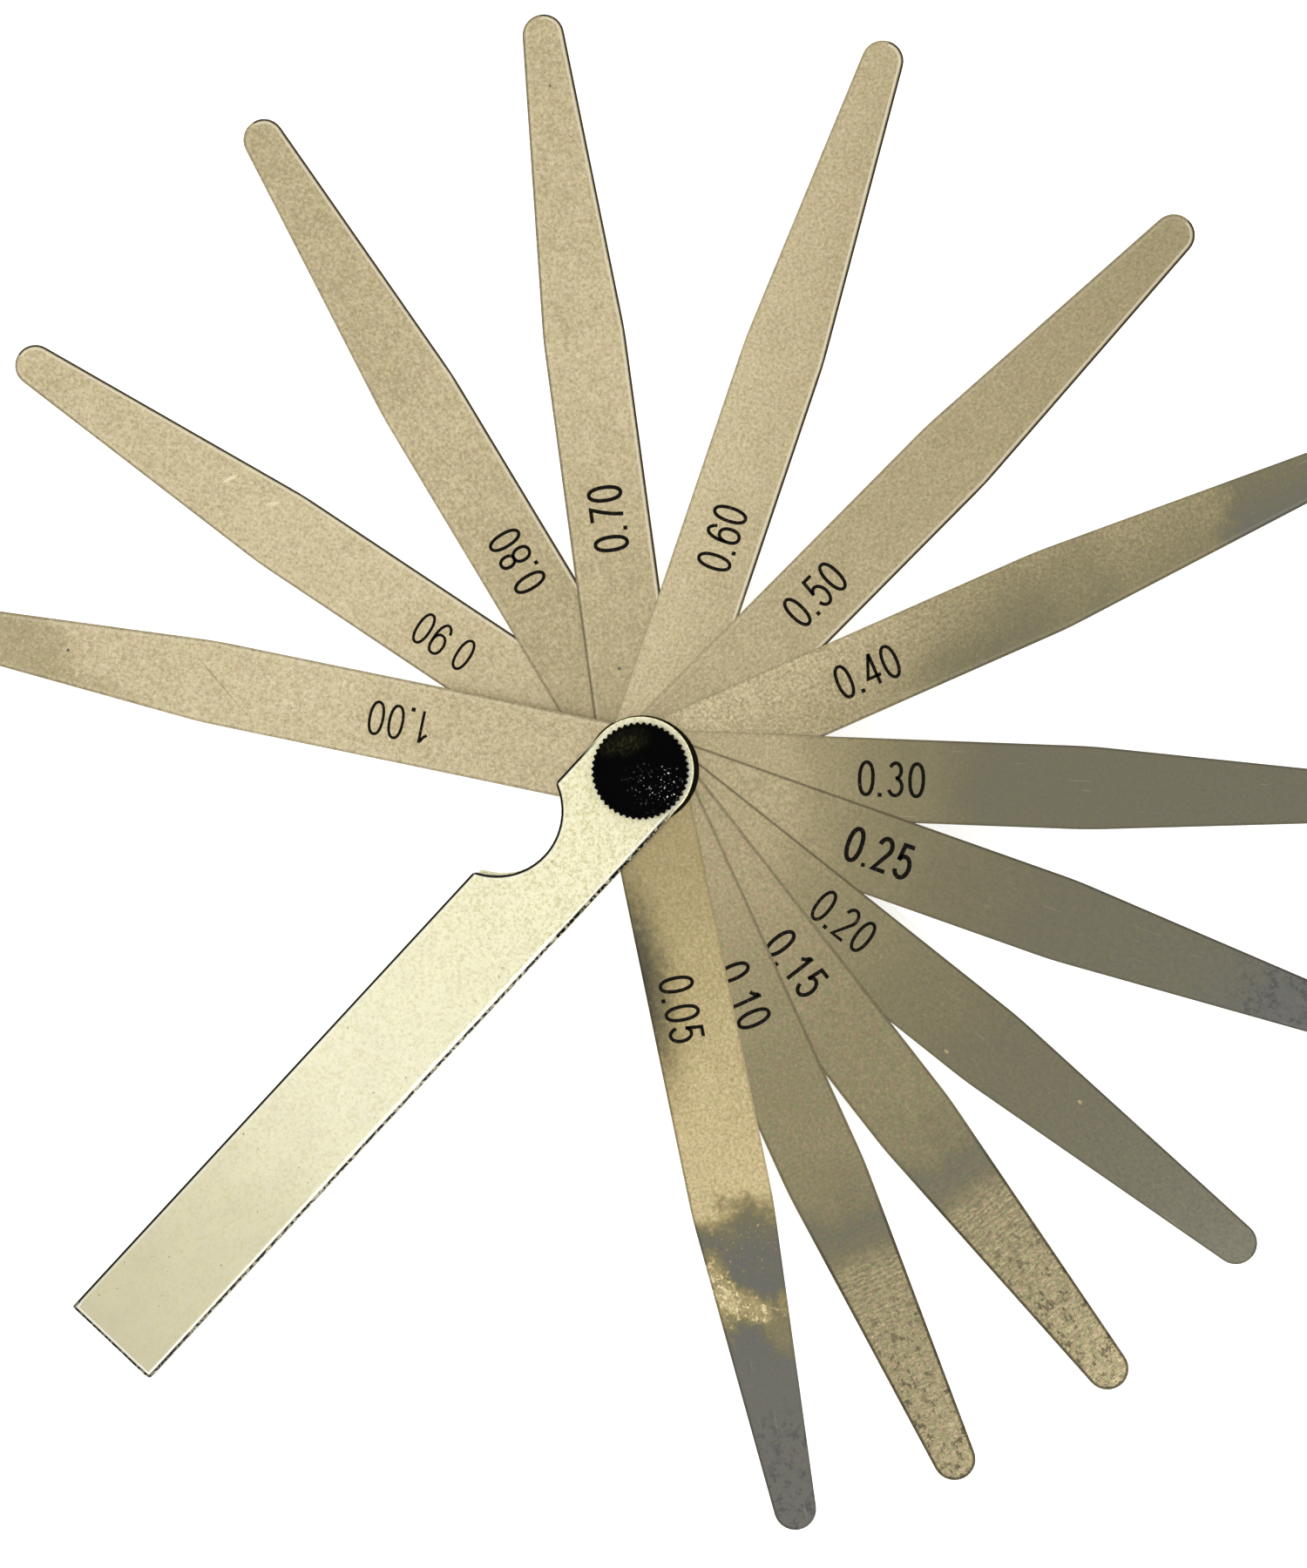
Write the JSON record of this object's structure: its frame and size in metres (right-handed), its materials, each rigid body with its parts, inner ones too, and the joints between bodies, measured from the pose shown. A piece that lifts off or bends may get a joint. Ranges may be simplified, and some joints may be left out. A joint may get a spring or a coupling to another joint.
{
  "type": "feeler gauge",
  "caption": "Folding feeler gauge: tapered steel thickness blades fanned round one pivot, in a folded sheet-metal case with a thumb notch and a knurled clamping knob.",
  "frame": {"origin": "on the pivot axis, at the back face of the pivot post's flange, which the gauge lies on", "axes": "+Z along the pivot axis towards the knob; +X along the case away from the pivot; +Y towards the case's folded spine"},
  "size_m": [0.1911, 0.1883, 0.013],
  "materials": {
    "blade_steel": "satin, finely ground, faint straw tarnish",
    "case_nickel": "satin nickel plating",
    "knob_plastic": "pebbled, moulded",
    "hardware_steel": "bright zinc plating"
  },
  "bodies": {
    "case": {"case": "case_nickel", "pivot_post": "hardware_steel"},
    "blade_0_90": {"blade_0_90": "blade_steel"},
    "blade_0_80": {"blade_0_80": "blade_steel"},
    "blade_0_70": {"blade_0_70": "blade_steel"},
    "blade_0_60": {"blade_0_60": "blade_steel"},
    "blade_0_50": {"blade_0_50": "blade_steel"},
    "blade_0_40": {"blade_0_40": "blade_steel"},
    "blade_0_30": {"blade_0_30": "blade_steel"},
    "blade_0_25": {"blade_0_25": "blade_steel"},
    "blade_0_20": {"blade_0_20": "blade_steel"},
    "blade_0_15": {"blade_0_15": "blade_steel"},
    "blade_0_10": {"blade_0_10": "blade_steel"},
    "blade_0_05": {"blade_0_05": "blade_steel"},
    "blade_1_00": {"blade_1_00": "blade_steel"},
    "clamp_washers": {"flat_washer": "hardware_steel", "spring_washer": "hardware_steel"},
    "knob": {"knob": "knob_plastic", "clamp_screw": "hardware_steel"}
  },
  "joints": [
    {"name": "blade_0_90_swing", "type": "hinge", "parent": "case", "child": "blade_0_90", "pos_m": [0, 0, 0.00231], "axis": [0, 0, -1], "range_deg": [-80.9, 249.1]},
    {"name": "blade_0_80_swing", "type": "hinge", "parent": "case", "child": "blade_0_80", "pos_m": [0, 0, 0.00319], "axis": [0, 0, -1], "range_deg": [-106.2, 223.8]},
    {"name": "blade_0_70_swing", "type": "hinge", "parent": "case", "child": "blade_0_70", "pos_m": [0, 0, 0.00397], "axis": [0, 0, -1], "range_deg": [-129.5, 200.5]},
    {"name": "blade_0_60_swing", "type": "hinge", "parent": "case", "child": "blade_0_60", "pos_m": [0, 0, 0.00465], "axis": [0, 0, -1], "range_deg": [-155.9, 174.1]},
    {"name": "blade_0_50_swing", "type": "hinge", "parent": "case", "child": "blade_0_50", "pos_m": [0, 0, 0.00523], "axis": [0, 0, -1], "range_deg": [-182, 148]},
    {"name": "blade_0_40_swing", "type": "hinge", "parent": "case", "child": "blade_0_40", "pos_m": [0, 0, 0.00571], "axis": [0, 0, -1], "range_deg": [-203.4, 126.6]},
    {"name": "blade_0_30_swing", "type": "hinge", "parent": "case", "child": "blade_0_30", "pos_m": [0, 0, 0.00609], "axis": [0, 0, -1], "range_deg": [-229.4, 100.6]},
    {"name": "blade_0_25_swing", "type": "hinge", "parent": "case", "child": "blade_0_25", "pos_m": [0, 0, 0.00639], "axis": [0, 0, -1], "range_deg": [-246.7, 83.3]},
    {"name": "blade_0_20_swing", "type": "hinge", "parent": "case", "child": "blade_0_20", "pos_m": [0, 0, 0.00665], "axis": [0, 0, -1], "range_deg": [-265.7, 64.3]},
    {"name": "blade_0_15_swing", "type": "hinge", "parent": "case", "child": "blade_0_15", "pos_m": [0, 0, 0.00685], "axis": [0, 0, -1], "range_deg": [-279.3, 50.7]},
    {"name": "blade_0_10_swing", "type": "hinge", "parent": "case", "child": "blade_0_10", "pos_m": [0, 0, 0.00701], "axis": [0, 0, -1], "range_deg": [-292.8, 37.2]},
    {"name": "blade_0_05_swing", "type": "hinge", "parent": "case", "child": "blade_0_05", "pos_m": [0, 0, 0.00711], "axis": [0, 0, -1], "range_deg": [-305.5, 24.5]},
    {"name": "blade_1_00_swing", "type": "hinge", "parent": "case", "child": "blade_1_00", "pos_m": [0, 0, 0.00767], "axis": [0, 0, -1], "range_deg": [-58.9, 271.1]},
    {"name": "clamp_lift", "type": "slide", "parent": "case", "child": "clamp_washers", "axis": [0, 0, 1], "range_m": [0, 0.0005]},
    {"name": "knob_turn", "type": "hinge", "parent": "clamp_washers", "child": "knob", "pos_m": [0, 0, 0.011], "axis": [0, 0, 1], "range_deg": [0, 360]}
  ],
  "couplings": [
    {"joint": "knob_turn", "follows": "clamp_lift", "rad_per_m": 12566}
  ]
}
